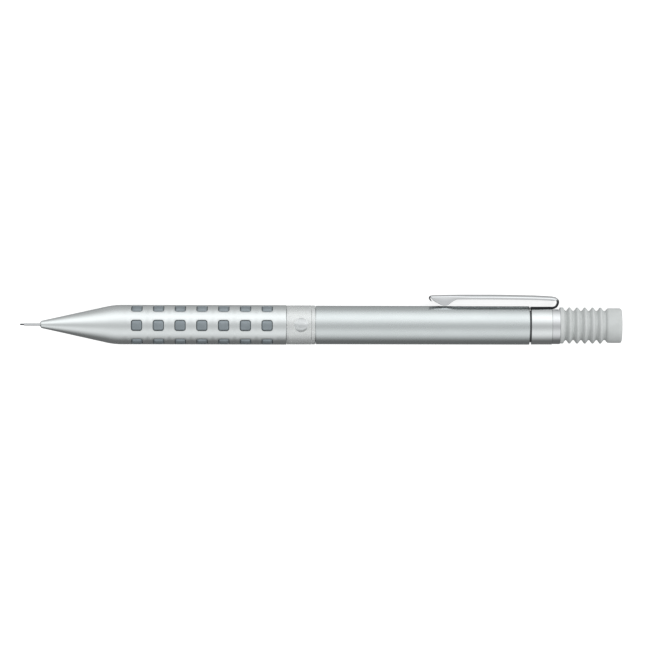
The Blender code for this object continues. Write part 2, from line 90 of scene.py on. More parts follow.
# Driving dimensions, in millimetres and degrees
LENGTH = 139.0
LEAD_R, LEAD_BORE_R = 0.185, 0.205
NOSE_FRONT, CONE_FRONT, GRIP_CORNER_S = 4.62, (4.95, 0.84), 21.75
GRIP_R, GRIP_BORE_R, GRIP_REAR = 4.56, 4.12, 61.6
STUD_COLUMNS, STUD_ROWS, STUD_FIRST_S, STUD_PITCH, STUD_TURN = 7, 6, 27.14, 5.007, 92.3
STUD_LENGTH, STUD_WIDTH, STUD_CORNER = 2.45, 2.42, 0.55
RING_FRONT, RING_REAR, RING_R = 61.65, 67.39, 4.50
LENS_S, LENS_TURN = 65.0, 90.0
SLEEVE_FRONT, SLEEVE_REAR, SLEEVE_R = 61.9, 67.2, 3.6
FLANGE_FRONT, FLANGE_REAR, FLANGE_R = 67.42, 68.15, 4.48
BARREL_FRONT, BARREL_REAR, BARREL_R, BARREL_BORE_R = 68.36, 117.7, 4.45, 4.0
BUSH_FRONT, BUSH_REAR, BUSH_R, BUSH_BORE_R = 108.0, 124.7, 3.9, 2.8
REAR_RING_FRONT, REAR_RING_REAR, REAR_RING_R = 118.1, 122.88, 4.41
COLLAR_FRONT, COLLAR_REAR, COLLAR_R = 122.92, 124.7, 4.30
REAR_RINGS_BORE_R = 3.94
SPRING_FRONT, SPRING_REAR = 21.4, 28.4
COVER_FRONT, FLANGE_END = 124.73, 125.58
CAP_FRONT, CAP_R, CAP_CORNER = 135.9, 4.01, 0.55

# Faces round a turned piece
WIRE_ROUND, SMALL_ROUND, TUBE_ROUND, ROUND, BARREL_ROUND, FINE_ROUND = 24, 48, 64, 96, 128, 160


# Shapes


def row_point(s, r, turn=0.0):
    """A place about the pencil's axis, as a point in the row frame."""
    a = math.radians(turn)
    return MM_TO_ROW @ Vector((r * math.cos(a), r * math.sin(a), s))


def link(name, data):
    obj = bpy.data.objects.new(name, data)
    bpy.context.scene.collection.objects.link(obj)
    return obj


def evaluated_mesh(obj):
    """A new mesh of the object as it stands, with its modifiers applied."""
    bpy.context.view_layer.update()
    return bpy.data.meshes.new_from_object(obj.evaluated_get(bpy.context.evaluated_depsgraph_get()))


def mesh_object(name, bm, sharp=40):
    """The object of a bmesh drawn in millimetres: closed up, turned outwards and laid down."""
    bmesh.ops.remove_doubles(bm, verts=bm.verts, dist=1e-4)
    bmesh.ops.recalc_face_normals(bm, faces=bm.faces)
    bm.transform(MM_TO_ROW)
    mesh = bpy.data.meshes.new(name)
    bm.to_mesh(mesh)
    bm.free()
    mesh.shade_smooth()
    mesh.set_sharp_from_angle(angle=math.radians(sharp))
    return link(name, mesh)


def soften(chain, radius, closed):
    """The chain of (s, r) points with each corner off the axis rounded to about that radius."""
    out = []
    last, arc_steps, least_turn = len(chain) - 1, 3, 0.2
    for k, here in enumerate(chain):
        if here[1] < 1e-6 or (not closed and k in (0, last)):
            out.append(here)
            continue
        corner = Vector(here)
        a, b = Vector(chain[k - 1]) - corner, Vector(chain[(k + 1) % len(chain)]) - corner
        turn = math.pi - a.angle(b)
        if turn < least_turn:
            out.append(here)
            continue
        reach = min(radius * math.tan(turn / 2), 0.45 * a.length, 0.45 * b.length)
        start, end = corner + a.normalized() * reach, corner + b.normalized() * reach
        for i in range(arc_steps + 1):
            t = i / arc_steps
            out.append(tuple(start * (1 - t) ** 2 + corner * 2 * t * (1 - t) + end * t**2))
    return out


def add_lathe(bm, chain, closed, steps, first_turn=0.0):
    """Rings of steps points for each (s, r), joined up; a point on the axis is one vertex."""
    rings = []
    for s, r in chain:
        if r < 1e-6:
            rings.append([bm.verts.new((0, 0, s))] * steps)
            continue
        turns = (math.radians(first_turn + 360 * k / steps) for k in range(steps))
        rings.append([bm.verts.new((r * math.cos(a), r * math.sin(a), s)) for a in turns])
    pairs = list(zip(rings, rings[1:]))
    if closed:
        pairs.append((rings[-1], rings[0]))
    for a, b in pairs:
        for k in range(steps):
            n = (k + 1) % steps
            corners = [a[k], a[n], b[n], b[k]]
            face = [v for i, v in enumerate(corners) if v not in corners[:i]]
            if len(face) > 2:
                bm.faces.new(face)


def turned(name, outer, bore=(), edge=0.04, steps=ROUND):
    """A turned piece. outer and bore run from front to rear, and meet the axis where solid."""
    chain = [*outer, *reversed(bore)]
    closed = chain[0][1] > 0 and chain[-1][1] > 0
    bm = bmesh.new()
    add_lathe(bm, soften(chain, edge, closed), closed, steps)
    return mesh_object(name, bm)


def tube(front, rear, radius):
    return [(front, radius), (rear, radius)]


def eased(start, corner, end, count):
    """Points of a smooth curve from start to end that heads for corner, ends left out."""
    steps = (k / (count + 1) for k in range(1, count + 1))
    return [
        tuple((1 - t) ** 2 * a + 2 * t * (1 - t) * b + t * t * c for a, b, c in zip(start, corner, end))
        for t in steps
    ]


# Cells: a rectangle of a tube's wall round one stud, window or lens

AROUND_SEGMENTS, ALONG_SEGMENTS, ARC_HALF = 14, 8, 2


def arc_point(middle, radius, degrees):
    a = math.radians(degrees)
    return (middle[0] + radius * math.cos(a), middle[1] + radius * math.sin(a))


def rounded_loop(length, width, corner):
    """Points round a rounded rectangle as (s, y), from the middle of one corner's arc."""
    points = []
    reach_s, reach_y = length / 2 - corner, width / 2 - corner
    centres = [(reach_s, reach_y), (-reach_s, reach_y), (-reach_s, -reach_y), (reach_s, -reach_y)]
    for quarter, centre in enumerate(centres):
        following = centres[(quarter + 1) % 4]
        straight = (ALONG_SEGMENTS, AROUND_SEGMENTS)[quarter % 2] - 2 * ARC_HALF
        turned_to = 90 + 90 * quarter
        for k in range(ARC_HALF):
            points.append(arc_point(centre, corner, turned_to - 45 + 45 * k / ARC_HALF))
        start, end = (arc_point(middle, corner, turned_to) for middle in (centre, following))
        for k in range(straight):
            t = k / straight
            points.append(tuple(a + (b - a) * t for a, b in zip(start, end)))
        for k in range(ARC_HALF):
            points.append(arc_point(following, corner, turned_to + 45 * k / ARC_HALF))
    return points


def cell_edge(span_s, half_turn):
    """The cell's own edge as (s, turn) from its high corner, matched to rounded_loop's points."""
    low, high = span_s
    corners = [(high, half_turn), (low, half_turn), (low, -half_turn), (high, -half_turn)]
    points = []
    for k, start in enumerate(corners):
        end = corners[(k + 1) % 4]
        count = (ALONG_SEGMENTS, AROUND_SEGMENTS)[k % 2]
        for i in range(count):
            points.append(tuple(a + (b - a) * i / count for a, b in zip(start, end)))
    return points


def on_tube(loop, s, turn, r):
    """A loop of (s, y) points set on a tube of radius r, its middle at (s, turn)."""
    return [(s + ds, turn + math.degrees(math.asin(y / r)), r) for ds, y in loop]


def add_loops(bm, loops, capped=False):
    """Quads between loops of (s, turn, r) points, and a fan over the last loop if capped."""
    rings = [[bm.verts.new((*arc_point((0, 0), r, a), s)) for s, a, r in loop] for loop in loops]
    count = len(rings[0])
    for a, b in zip(rings, rings[1:]):
        for k in range(count):
            bm.faces.new((a[k], a[(k + 1) % count], b[(k + 1) % count], b[k]))
    if capped:
        middle = bm.verts.new(sum((v.co for v in rings[-1]), Vector()) / count)
        for k in range(count):
            bm.faces.new((rings[-1][k], rings[-1][(k + 1) % count], middle))


def stud_places():
    for row in range(STUD_ROWS):
        for column in range(STUD_COLUMNS):
            yield STUD_FIRST_S + STUD_PITCH * column, STUD_TURN + 60.0 * row


def grown_loop(extra):
    return rounded_loop(STUD_LENGTH + 2 * extra, STUD_WIDTH + 2 * extra, STUD_CORNER + extra)


def stud_cell(s, rear_end):
    """The edge of a stud's cell, cut off at rear_end, about the stud's middle."""
    half = STUD_PITCH / 2
    return [(p - s, t) for p, t in cell_edge((s - half, min(s + half, rear_end)), 30.0)]


def edge_loop(edge, s, turn, r):
    return [(s + ds, turn + t, r) for ds, t in edge]


def between(a, b, t):
    return [tuple(x + (y - x) * t for x, y in zip(p, q)) for p, q in zip(a, b)]


CELLS_FRONT = STUD_FIRST_S - STUD_PITCH / 2
CELLS_REAR = STUD_FIRST_S + STUD_PITCH * (STUD_COLUMNS - 0.5)
CELL_ROUND = STUD_ROWS * AROUND_SEGMENTS


def make_grip_shell():
    """The nose cone and the windowed grip. Each window has a gap to its stud and a round rim."""
    gap, rim, bend_reach = 0.05, 0.07, 1.85
    slope = (GRIP_R - CONE_FRONT[1]) / (GRIP_CORNER_S - CONE_FRONT[0])
    cone_middle, bend_start = (
        (s, CONE_FRONT[1] + slope * (s - CONE_FRONT[0])) for s in (12.0, GRIP_CORNER_S - bend_reach)
    )
    bend_end = (GRIP_CORNER_S + bend_reach, GRIP_R)
    front = [
        (NOSE_FRONT, 0.33),
        (NOSE_FRONT, 0.42),
        (NOSE_FRONT + 0.12, 0.50),
        (NOSE_FRONT + 0.20, 0.70),
        CONE_FRONT,
        cone_middle,
        bend_start,
        *eased(bend_start, (GRIP_CORNER_S, GRIP_R), bend_end, 9),
        bend_end,
        (CELLS_FRONT, GRIP_R),
    ]
    inside = [
        (CELLS_FRONT, GRIP_BORE_R),
        (24.0, GRIP_BORE_R),
        (20.0, 3.45),
        (16.0, 2.75),
        (15.0, 2.5),
        (15.0, 1.85),
        (14.5, 1.85),
        (14.5, 1.6),
        (11.4, 1.6),
        (11.4, 1.05),
        (7.6, 1.05),
        (7.6, 0.33),
    ]
    rear = [
        (CELLS_REAR, GRIP_R),
        (GRIP_REAR - 0.12, GRIP_R),
        (GRIP_REAR, GRIP_R - 0.08),
        (GRIP_REAR, GRIP_BORE_R),
        (CELLS_REAR, GRIP_BORE_R),
    ]
    bm = bmesh.new()
    first = STUD_TURN - 30.0
    add_lathe(bm, soften([*inside, *front], 0.05, False), False, CELL_ROUND, first)
    add_lathe(bm, soften(rear, 0.08, False), False, CELL_ROUND, first)
    for s, turn in stud_places():
        edge = stud_cell(s, CELLS_REAR)
        outside = edge_loop(edge, s, turn, GRIP_R)
        lip = on_tube(grown_loop(gap + rim), s, turn, GRIP_R)
        loops = [outside, between(outside, lip, 0.6), lip]
        for k in range(1, 4):
            a = math.radians(30 * k)
            extra, r = gap + rim * (1 - math.sin(a)), GRIP_R - rim * (1 - math.cos(a))
            loops.append(on_tube(grown_loop(extra), s, turn, r))
        low = on_tube(grown_loop(gap), s, turn, GRIP_BORE_R)
        inside_edge = edge_loop(edge, s, turn, GRIP_BORE_R)
        loops += [low, between(low, inside_edge, 0.5), inside_edge]
        add_loops(bm, loops)
    return mesh_object("grip_shell_fine", bm)


def make_grip_insert():
    """The rubber sleeve and its studs, each with a soft edge and a slightly domed top."""
    front, rear, bore_r, low_r = 24.3, 58.7, 3.45, 4.05
    top_r, edge_r, fillet = 4.72, 0.52, 0.12
    bm = bmesh.new()
    chain = [(rear, low_r), (rear, bore_r), (front, bore_r), (front, low_r), (CELLS_FRONT, low_r)]
    add_lathe(bm, chain, False, CELL_ROUND, STUD_TURN - 30.0)
    for s, turn in stud_places():
        edge = edge_loop(stud_cell(s, rear), s, turn, low_r)
        foot = on_tube(grown_loop(fillet), s, turn, low_r)
        wall = on_tube(grown_loop(0), s, turn, low_r + fillet)
        loops = [edge, between(edge, foot, 0.6), foot, wall]
        for k in range(7):
            a = math.radians(15 * k)
            inset, r = edge_r * (1 - math.cos(a)), top_r - edge_r * (1 - math.sin(a))
            loops.append(on_tube(grown_loop(-inset), s, turn, r))
        for share, rise in ((0.66, 0.025), (0.33, 0.04)):
            loop = [(ds * share, y * share) for ds, y in grown_loop(-edge_r)]
            loops.append(on_tube(loop, s, turn, top_r + rise))
        add_loops(bm, loops, capped=True)
    return mesh_object("grip_insert_fine", bm)


LENS_DOME_R, LENS_MOAT_R, LENS_RIM_R = 1.62, 1.86, 2.08


def lens_circle(radius):
    """Points round a circle as (s, y), matched to cell_edge's points."""
    points = []
    for quarter in range(4):
        count = (ALONG_SEGMENTS, AROUND_SEGMENTS)[quarter % 2]
        for k in range(count):
            a = math.radians(45 + 90 * quarter + 90 * k / count)
            points.append((radius * math.cos(a), radius * math.sin(a)))
    return points


def make_window_ring():
    """A frosted ring with a low lens, whose crest sits a little low and to the rear."""
    r, bore_r, chamfer = RING_R, 3.68, 0.04
    dome_height, crest_shift_s, crest_shift_turn, dome_loops = 0.5, 0.2, 4.4, 11
    span = (RING_FRONT + chamfer, RING_REAR - chamfer)
    bm = bmesh.new()
    ends = [
        (span[0], r),
        (RING_FRONT, r - chamfer),
        (RING_FRONT, bore_r),
        (RING_REAR, bore_r),
        (RING_REAR, r - chamfer),
        (span[1], r),
    ]
    add_lathe(bm, ends, False, CELL_ROUND, LENS_TURN - 30.0)
    for cell in range(1, 6):
        for k in range(AROUND_SEGMENTS):
            turns = [LENS_TURN + 60 * cell - 30 + 60 * i / AROUND_SEGMENTS for i in (k, k + 1)]
            for i in range(ALONG_SEGMENTS):
                a, b = (span[0] + (span[1] - span[0]) * j / ALONG_SEGMENTS for j in (i, i + 1))
                quad = [(a, turns[0]), (b, turns[0]), (b, turns[1]), (a, turns[1])]
                bm.faces.new(bm.verts.new((*arc_point((0, 0), r, turn), s)) for s, turn in quad)
    lens_edge = [(p - LENS_S, t) for p, t in cell_edge(span, 30.0)]
    rim = [
        (LENS_RIM_R, r),
        (LENS_RIM_R - 0.08, r + 0.005),
        (LENS_MOAT_R, r - 0.01),
        (LENS_DOME_R + 0.12, r - 0.02),
        (LENS_DOME_R + 0.04, r - 0.02),
    ]
    loops = [edge_loop(lens_edge, LENS_S, LENS_TURN, r)]
    loops += [on_tube(lens_circle(away), LENS_S, LENS_TURN, height) for away, height in rim]
    for k in range(dome_loops):
        share = 1 - k / dome_loops
        rise = 1 - share**2
        loop = lens_circle((LENS_DOME_R - 0.02) * share)
        middle = (LENS_S + crest_shift_s * rise, LENS_TURN + crest_shift_turn * rise)
        loops.append(on_tube(loop, *middle, r + 0.02 + dome_height * rise))
    add_loops(bm, loops, capped=True)
    return mesh_object("window_ring_fine", bm, sharp=60)


def give_faces(obj, material, chosen):
    """Gives the material to the faces that chosen picks by middle and normal, in local axes."""
    obj.data.materials.append(material)
    index = len(obj.data.materials) - 1
    to_local = MM_TO_ROW.inverted()
    for face in obj.data.polygons:
        p = to_local @ face.center
        if chosen(p, (to_local.to_3x3() @ face.normal).normalized()):
            face.material_index = index


def in_lens(p, normal):
    """The dome, and the part of the ring's bore behind it."""
    turn = math.radians(LENS_TURN)
    across = p.x * math.sin(turn) - p.y * math.cos(turn)
    height = p.x * math.cos(turn) + p.y * math.sin(turn)
    in_dome = height > 4.3 and math.hypot(p.z - LENS_S, across) < LENS_DOME_R
    in_bore = 0 < height < 3.7 and abs(across) < LENS_DOME_R and abs(normal.z) < 0.5
    return in_dome or in_bore


def make_grade_marks():
    """The numbers 1 to 9 round the grade sleeve, 2 under the lens, as a skin of ink.

    Each is cut into strips, so that it bends round the sleeve.
    """
    ink, size, pitch, strip = 0.02, 1.9, 40.0, 0.2
    whole = bmesh.new()
    for number in range(1, 10):
        text = bpy.data.curves.new("mark", "FONT")
        text.body, text.size, text.extrude = str(number), size, ink / 2
        text.align_x, text.align_y = "CENTER", "CENTER"
        drawn = link("mark", text)
        mesh = evaluated_mesh(drawn)
        bpy.data.objects.remove(drawn)
        bm = bmesh.new()
        bm.from_mesh(mesh)
        for k in range(-5, 6):
            everything = bm.verts[:] + bm.edges[:] + bm.faces[:]
            bmesh.ops.bisect_plane(bm, geom=everything, plane_co=(0, strip * k, 0), plane_no=(0, 1, 0))
        for v in bm.verts:
            turn = math.radians(LENS_TURN + pitch * (number - 2)) - v.co.y / SLEEVE_R
            r = SLEEVE_R + ink + v.co.z
            v.co = (r * math.cos(turn), r * math.sin(turn), LENS_S + v.co.x)
        bm.to_mesh(mesh)
        bm.free()
        whole.from_mesh(mesh)
    return mesh_object("grade_marks", whole)


def cut_block(obj, low, high, turn=0.0):
    """Cuts a block from a piece; low and high are corners in the pencil's own millimetres."""
    bpy.ops.mesh.primitive_cube_add(size=1.0)
    block = bpy.context.object
    size, middle = Vector(high) - Vector(low), (Vector(high) + Vector(low)) / 2
    place = Matrix.Rotation(math.radians(turn), 4, "Z") @ Matrix.Translation(middle)
    block.data.transform(MM_TO_ROW @ place @ Matrix.Diagonal((*size, 1)))
    modifier = obj.modifiers.new("cut", "BOOLEAN")
    modifier.object, modifier.solver = block, "EXACT"
    obj.data = evaluated_mesh(obj)
    obj.modifiers.clear()
    bpy.data.objects.remove(block)
    obj.data.shade_smooth()
    obj.data.set_sharp_from_angle(angle=math.radians(30))
    return obj


def make_joint_core():
    """The coupling: a thread for the grip, a neck for the sleeve, a flange, and a barrel plug."""
    front, rear, bore_r = 59.0, 78.0, 2.95
    root_r, ridge_r, ridge_pitch, ridges = 3.72, 3.98, 0.55, 4
    neck_front, neck_r, step_rear, step_r, plug_r = 61.45, 3.3, 68.33, 4.33, 3.94
    outer = [(front, root_r - 0.02)]
    for k in range(ridges):
        ridge = front + 0.15 + ridge_pitch * k
        outer += [(ridge, root_r), (ridge + 0.16, ridge_r), (ridge + 0.24, ridge_r), (ridge + 0.40, root_r)]
    outer += [(neck_front, root_r - 0.02), (neck_front, neck_r), (FLANGE_FRONT, neck_r)]
    outer += [(FLANGE_FRONT, FLANGE_R), (FLANGE_REAR, FLANGE_R), (FLANGE_REAR, step_r)]
    outer += [(step_rear, step_r), (step_rear, plug_r), (rear, plug_r)]
    return turned("joint_core_fine", outer, tube(front, rear, bore_r), 0.05)


def on_flange(p, _):
    return FLANGE_FRONT - 0.02 < p.z < FLANGE_REAR + 0.05 and math.hypot(p.x, p.y) > 4.0


def make_chuck():
    """A head and a stem, split into three jaws."""
    front, rear, stem_r, bore_rear = 15.0, 30.0, 0.85, 19.0
    slot_half, slot_rear = 0.06, 26.0
    outer = [
        (front, 1.05),
        (front + 0.15, 1.30),
        (front + 0.33, 1.30),
        (front + 0.42, 1.20),
        (17.4, 0.98),
        (17.6, stem_r),
        (rear, stem_r),
    ]
    bore = [(front, LEAD_BORE_R), (bore_rear, LEAD_BORE_R), (bore_rear, 0.35), (rear, 0.35)]
    chuck = turned("chuck_fine", outer, bore, 0.04, SMALL_ROUND)
    for k in range(3):
        cut_block(chuck, (0.01, -slot_half, front - 1), (1.59, slot_half, slot_rear), 120 * k + 4)
    return chuck


def make_return_spring():
    mean_r, wire_r, turns, per_turn = 1.45, 0.16, 7, 24
    front, length = SPRING_FRONT + wire_r, SPRING_REAR - SPRING_FRONT - 2 * wire_r
    curve = bpy.data.curves.new("return_spring_wire", "CURVE")
    curve.dimensions, curve.bevel_depth, curve.bevel_resolution = "3D", wire_r * MM, 3
    curve.use_fill_caps = True
    spline = curve.splines.new("POLY")
    count = turns * per_turn + 1
    spline.points.add(count - 1)
    for k in range(count):
        s = front + length * k / (count - 1)
        spline.points[k].co = (*row_point(s, mean_r, 360 / per_turn * k), 1)
    wire = link("return_spring_wire", curve)
    mesh = evaluated_mesh(wire)
    bpy.data.objects.remove(wire)
    bm = bmesh.new()
    bm.from_mesh(mesh)
    bm.transform(MM_TO_ROW.inverted())
    return mesh_object("return_spring_fine", bm)


# The clip: a channel of thin sheet, lofted along its path


def smooth_path(points, per_span=5):
    """A Catmull-Rom curve through the points."""
    rows = [np.array(p, float) for p in points]
    rows = [2 * rows[0] - rows[1], *rows, 2 * rows[-1] - rows[-2]]
    out = []
    for a, b, c, d in zip(rows, rows[1:], rows[2:], rows[3:]):
        square, cube = 2 * a - 5 * b + 4 * c - d, 3 * b - a - 3 * c + d
        for k in range(per_span):
            t = k / per_span
            out.append(0.5 * (2 * b + (c - a) * t + square * t**2 + cube * t**3))
    out.append(rows[-2])
    return out


# The clip's path, from its nose over the blade and round the bend to the end of its foot: (s, r)
# just inside the outer face, half the width, and the depth of the arch with its flanges
CLIP_PATH = [
    (95.22, 5.50, 0.98, 0.26),
    (94.86, 5.76, 1.06, 0.26),
    (94.63, 6.10, 1.18, 0.27),
    (94.60, 6.46, 1.30, 0.34),
    (94.80, 6.73, 1.40, 0.50),
    (95.20, 6.83, 1.48, 0.95),
    (95.80, 6.86, 1.53, 1.45),
    (96.60, 6.88, 1.60, 1.92),
    (97.40, 6.90, 1.65, 2.34),
    (98.30, 6.92, 1.70, 2.50),
    (99.00, 6.94, 1.73, 2.32),
    (99.75, 6.95, 1.76, 1.74),
    (100.6, 6.96, 1.80, 1.28),
    (101.8, 6.98, 1.84, 1.12),
    (106.5, 6.99, 1.86, 1.10),
    (111.0, 6.98, 1.85, 1.10),
    (117.9, 6.86, 1.80, 1.06),
    (121.0, 6.74, 1.68, 1.02),
    (122.6, 6.64, 1.60, 1.00),
    (123.4, 6.53, 1.56, 0.98),
    (123.85, 6.38, 1.54, 0.90),
    (124.15, 6.14, 1.53, 0.56),
    (124.40, 5.80, 1.52, 0.50),
    (124.48, 5.42, 1.52, 0.50),
    (124.40, 4.94, 1.52, 0.50),
    (124.14, 4.44, 1.52, 0.50),
    (123.7, 4.05, 1.60, 0.52),
    (123.0, 3.81, 1.85, 0.62),
    (122.2, 3.76, 2.10, 0.66),
    (120.5, 3.75, 2.10, 0.66),
    (118.5, 3.75, 2.10, 0.66),
    (118.0, 3.76, 2.07, 0.66),
    (117.8, 3.80, 1.98, 0.60),
    (117.74, 3.87, 1.84, 0.46),
]


def clip_outline(half, depth, rise, sheet):
    """The arched channel's outline as (y, depth) points."""
    outside = [(half - 0.01, depth), (half, (depth + rise) / 2), (half, rise + 0.02)]
    inside = [(half - sheet, depth), (half - sheet, rise + sheet)]
    for k in range(1, 10):
        a = math.radians(10 * k)
        outside.append((half * math.cos(a), rise * (1 - math.sin(a))))
        if k % 3 == 0:
            inside.append(((half - sheet) * math.cos(a), sheet + rise * (1 - math.sin(a))))
    outline = [*outside, *((-y, d) for y, d in reversed(outside[:-1]))]
    return outline + [*((-y, d) for y, d in inside), *reversed(inside[:-1])]


def make_clip():
    """The clip lofted along its path, outside it by outer_face, its sheet thinner at both ends."""
    full_sheet, outer_face, nose_arch, blade_arch = 0.34, 0.09, 0.45, 0.68
    stations = smooth_path(CLIP_PATH)
    places = np.array([p[:2] for p in stations])
    along = np.gradient(places, axis=0)
    along /= np.linalg.norm(along, axis=1)[:, None]
    bm = bmesh.new()
    rings = []
    for (s, r, half, depth), way in zip(stations, along):
        inward = (way[1], -way[0])
        sheet = min(full_sheet, depth - 0.04)
        arch = float(np.interp(s, (99.0, 104.0), (nose_arch, blade_arch)))
        ring = []
        for y, d in clip_outline(half, depth, min(arch, depth - sheet - 0.02), sheet):
            d -= outer_face
            ring.append(bm.verts.new((r + inward[1] * d, y, s + inward[0] * d)))
        rings.append(ring)
    count = len(rings[0])
    for a, b in zip(rings, rings[1:]):
        for k in range(count):
            n = (k + 1) % count
            bm.faces.new((a[k], a[n], b[n], b[k]))
    bm.faces.new(rings[0])
    bm.faces.new(rings[-1])
    return mesh_object("clip_fine", bm, sharp=45)


def on_cut_edge(p, normal):
    """Side faces of the sheet along the nose, the bend and the foot, coloured near-black as painted shade.
    """
    on_bend = p.x < 6.1 and p.z > 124.05
    on_foot = p.x < 5.2 and p.z > 117.0
    return abs(normal.y) > 0.7 and (p.z < 94.9 or on_bend or on_foot)


def inside_clip(p, normal):
    """The faces over the rear rings that look down at them, coloured dark as painted shade."""
    return normal.x < -0.4 and p.z > 117.5


# The push cover


def make_bellows():
    """A flange, five soft folds and a round cap, hollow inside."""
    first_peak, pitch, folds, wall = 126.95, 1.785, 5, 0.45
    peak_r, valley_r, flange_r, flange_bore_r = 4.2, 3.35, 4.17, 3.3
    cap_bore_r, cap_inside = 3.4, 138.25
    outer = [(COVER_FRONT, flange_r - 0.07), (COVER_FRONT + 0.02, flange_r), (125.4, flange_r)]
    outer += [(125.55, 4.08), (125.7, 3.75)]
    bore = [(COVER_FRONT, flange_bore_r), (FLANGE_END, flange_bore_r), (FLANGE_END, valley_r - wall)]
    samples = 14
    for k in range(samples * folds + 1):
        s = first_peak + pitch * (k / samples - 0.5)
        wave = 0.5 - 0.5 * math.cos(2 * math.pi * k / samples)
        outer.append((s, valley_r + (peak_r - valley_r) * wave))
        if k % 2 == 0:
            bore.append((s, valley_r - wall + (peak_r - valley_r) * wave))
    last = first_peak + pitch * (folds - 0.5)
    shoulder, cap_side = (last + 0.3, valley_r + 0.06), (CAP_FRONT + 0.1, CAP_R)
    cap_edge, cap_end = (LENGTH - CAP_CORNER, CAP_R + 0.01), (LENGTH, CAP_R - CAP_CORNER)
    outer += [shoulder, *eased(shoulder, (last + 0.55, CAP_R), cap_side, 4), cap_side]
    outer += [cap_edge, *eased(cap_edge, (LENGTH, CAP_R), cap_end, 5), cap_end]
    outer += [(LENGTH, 2.0), (LENGTH, 0.0)]
    bore += [(CAP_FRONT, valley_r - wall), (CAP_FRONT, cap_bore_r)]
    bore += [(cap_inside, cap_bore_r), (cap_inside, 0.0)]
    bm = bmesh.new()
    add_lathe(bm, [*outer, *reversed(bore)], False, ROUND)
    return mesh_object("bellows_fine", bm, sharp=50)


# Materials


def new_material(name):
    material = bpy.data.materials.new(name)
    material.use_nodes = True
    tree = material.node_tree
    return material, tree, tree.nodes["Principled BSDF"]


def row_coords(tree, scale):
    """The piece's own coordinates in millimetres, stretched by scale along X, Y and Z."""
    coords = tree.nodes.new("ShaderNodeTexCoord")
    mapping = tree.nodes.new("ShaderNodeMapping")
    mapping.inputs["Scale"].default_value = [k / MM for k in scale]
    tree.links.new(coords.outputs["Object"], mapping.inputs["Vector"])
    return mapping.outputs["Vector"]


def noise(tree, scale, detail=3.0, roughness=0.55):
    node = tree.nodes.new("ShaderNodeTexNoise")
    node.inputs["Scale"].default_value = 1.0
    node.inputs["Detail"].default_value = detail
    node.inputs["Roughness"].default_value = roughness
    tree.links.new(row_coords(tree, scale), node.inputs["Vector"])
    return node.outputs["Fac"]


def remap(tree, value, low, high, source=(0.3, 0.7), kind="LINEAR"):
    node = tree.nodes.new("ShaderNodeMapRange")
    node.interpolation_type = kind
    node.inputs["From Min"].default_value, node.inputs["From Max"].default_value = source
    node.inputs["To Min"].default_value, node.inputs["To Max"].default_value = low, high
    tree.links.new(value, node.inputs["Value"])
    return node.outputs["Result"]


def tint(tree, value, dark, light):
    """A colour between dark and light as value runs from 0 to 1."""
    node = tree.nodes.new("ShaderNodeMix")
    node.data_type = "RGBA"
    node.inputs["A"].default_value = (*dark, 1)
    node.inputs["B"].default_value = (*light, 1)
    tree.links.new(value, node.inputs["Factor"])
    return node.outputs["Result"]


def add_bump(tree, shader, heights, distance):
    """A bump from the sum of the height values; distance is in millimetres."""
    total = heights[0]
    for other in heights[1:]:
        add = tree.nodes.new("ShaderNodeMath")
        tree.links.new(total, add.inputs[0])
        tree.links.new(other, add.inputs[1])
        total = add.outputs[0]
    bump = tree.nodes.new("ShaderNodeBump")
    bump.inputs["Strength"].default_value = 1.0
    bump.inputs["Distance"].default_value = distance * MM
    tree.links.new(total, bump.inputs["Height"])
    tree.links.new(bump.outputs["Normal"], shader.inputs["Normal"])


def metal(name, colour, roughness, turning=0.004, grain=0.002):
    """Machined metal: fine turning rings along X, a fine grain, and faint smudges."""
    spread = 0.02
    material, tree, shader = new_material(name)
    rings = noise(tree, (9.0, 0.02, 0.02), 4.0, 0.7)
    speckle = noise(tree, (14.0, 14.0, 14.0), 2.0)
    smudge = noise(tree, (0.12, 0.35, 0.35), 4.0, 0.6)
    level = remap(tree, smudge, 0, 1)
    dark = tuple(c * 0.96 for c in colour)
    tree.links.new(tint(tree, level, dark, colour), shader.inputs["Base Color"])
    gloss = remap(tree, smudge, roughness + spread, roughness - spread)
    tree.links.new(gloss, shader.inputs["Roughness"])
    shader.inputs["Metallic"].default_value = 1.0
    add_bump(tree, shader, [remap(tree, rings, 0, turning / grain, (0, 1)), speckle], grain)
    return material


def plain(name, colour, roughness, grain=0.004, grain_scale=8.0, variation=0.08, metallic=0.0):
    """Rubber or moulded plastic with a fine even grain and a slight mottle."""
    material, tree, shader = new_material(name)
    mottle = noise(tree, (0.5, 0.5, 0.5), 4.0, 0.6)
    level = remap(tree, mottle, 0, 1)
    dark = tuple(c * (1 - variation) for c in colour)
    light = tuple(min(1.0, c * (1 + variation)) for c in colour)
    tree.links.new(tint(tree, level, dark, light), shader.inputs["Base Color"])
    tree.links.new(remap(tree, mottle, roughness + 0.05, roughness - 0.05), shader.inputs["Roughness"])
    shader.inputs["Metallic"].default_value = metallic
    grains = noise(tree, (grain_scale,) * 3, 3.0)
    add_bump(tree, shader, [grains], grain)
    return material


def translucent(name, colour, roughness, transmission, metallic):
    """Moulded clear plastic over bright metal, with a faint mottle."""
    material, tree, shader = new_material(name)
    shader.inputs["Transmission Weight"].default_value = transmission
    shader.inputs["Metallic"].default_value = metallic
    shader.inputs["IOR"].default_value = 1.49
    mottle = noise(tree, (0.8, 0.8, 0.8), 3.0)
    tree.links.new(remap(tree, mottle, roughness + 0.03, roughness - 0.03), shader.inputs["Roughness"])
    dark = tuple(c * 0.96 for c in colour)
    tree.links.new(tint(tree, remap(tree, mottle, 0, 1), dark, colour), shader.inputs["Base Color"])
    return material


